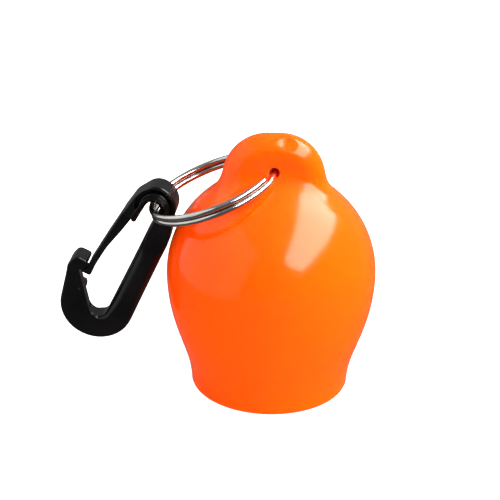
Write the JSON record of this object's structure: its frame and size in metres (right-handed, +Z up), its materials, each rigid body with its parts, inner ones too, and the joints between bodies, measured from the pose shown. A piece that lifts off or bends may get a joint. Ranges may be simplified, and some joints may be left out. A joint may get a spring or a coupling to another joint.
{
  "type": "regulator mouthpiece cover",
  "caption": "Hollow soft ball on a short neck that covers a diving regulator's mouthpiece, with a boss on top, a split ring through the boss and a plastic snap clip.",
  "frame": {"origin": "centre of the neck's open rim, on the rim's plane", "axes": "+Z up the neck into the ball and its boss, -X towards the hanging ring and clip, Y along the boss's cross hole"},
  "size_m": [0.0807, 0.0528, 0.0673],
  "materials": {
    "soft_pvc": "glossy orange soft PVC",
    "stainless_wire": "polished round wire",
    "black_acetal": "moulded black, satin gloss"
  },
  "bodies": {
    "cover": {"cover": "soft_pvc"},
    "ring": {"split_ring": "stainless_wire"},
    "clip": {"clip_body": "black_acetal"},
    "gate": {"clip_gate": "black_acetal"}
  },
  "joints": [
    {"name": "ring_swing", "type": "hinge", "parent": "cover", "child": "ring", "pos_m": [0.0003, 0, 0.0587], "axis": [0, 1, 0], "range_deg": [0, 200]},
    {"name": "clip_swing", "type": "hinge", "parent": "ring", "child": "clip", "pos_m": [-0.02947, 0.00198, 0.04697], "axis": [0.1134, 0.9925, 0.0447], "range_deg": [0, 110]},
    {"name": "gate_flex", "type": "hinge", "parent": "clip", "child": "gate", "pos_m": [-0.03633, 0.00287, 0.04468], "axis": [-0.1134, -0.9925, -0.0447], "range_deg": [0, 20], "stiffness_Nm_per_rad": 0.5, "springref_deg": -2.86}
  ]
}
